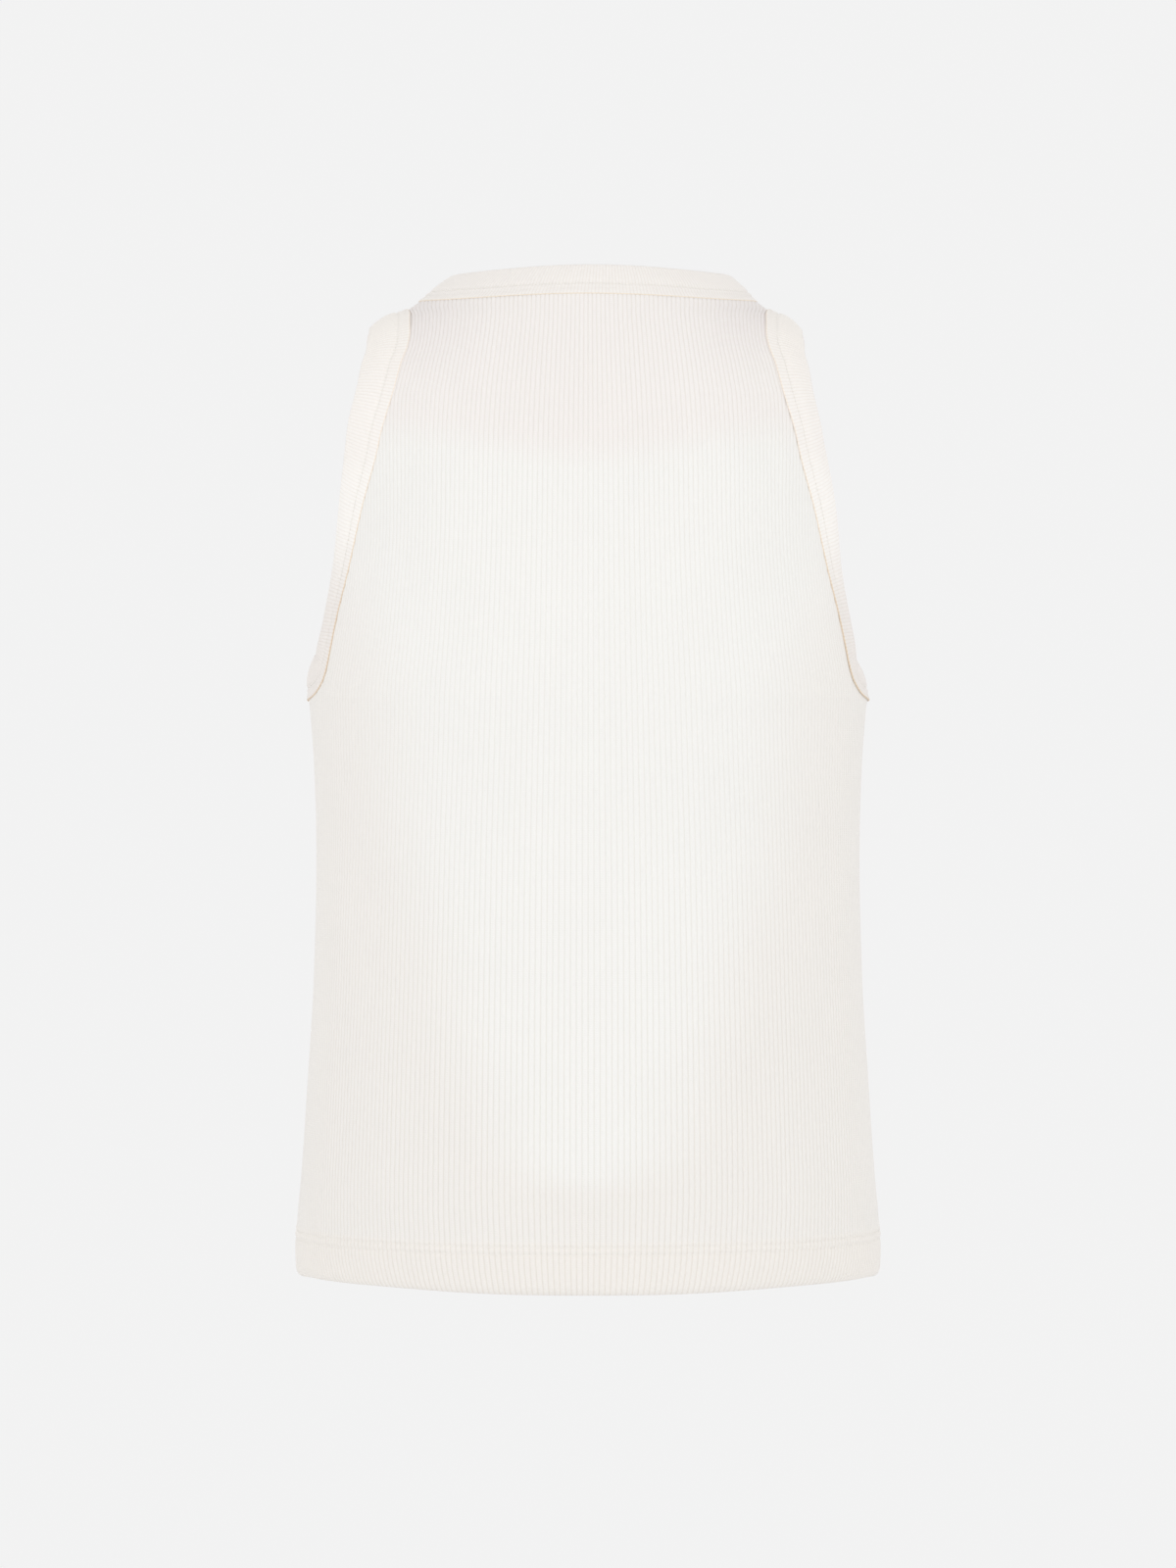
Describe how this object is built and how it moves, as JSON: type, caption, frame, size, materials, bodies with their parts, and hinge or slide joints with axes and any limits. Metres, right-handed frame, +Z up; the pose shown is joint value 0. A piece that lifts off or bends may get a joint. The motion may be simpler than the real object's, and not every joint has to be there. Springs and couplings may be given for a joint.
{
  "type": "tank top",
  "caption": "Sleeveless ribbed knit tank top with a high back neck, bound neckline and armholes and a stitched hem, standing hollow as if worn.",
  "frame": {"origin": "midway between the two shoulder straps, 3 mm above the tops of the armhole seams, where the wearer's shoulders hold the garment", "axes": "+Z up, +Y towards the garment's back, +X towards the wearer's left"},
  "size_m": [0.3378, 0.2291, 0.573],
  "materials": {
    "rib_knit": "dry, matte cotton rib",
    "binding_rib": "dry, matte cotton rib"
  },
  "bodies": {
    "root": {"back_panel": "rib_knit", "front_panel": "rib_knit", "neck_binding": "binding_rib", "armhole_binding_left": "binding_rib", "armhole_binding_right": "binding_rib"}
  },
  "joints": []
}
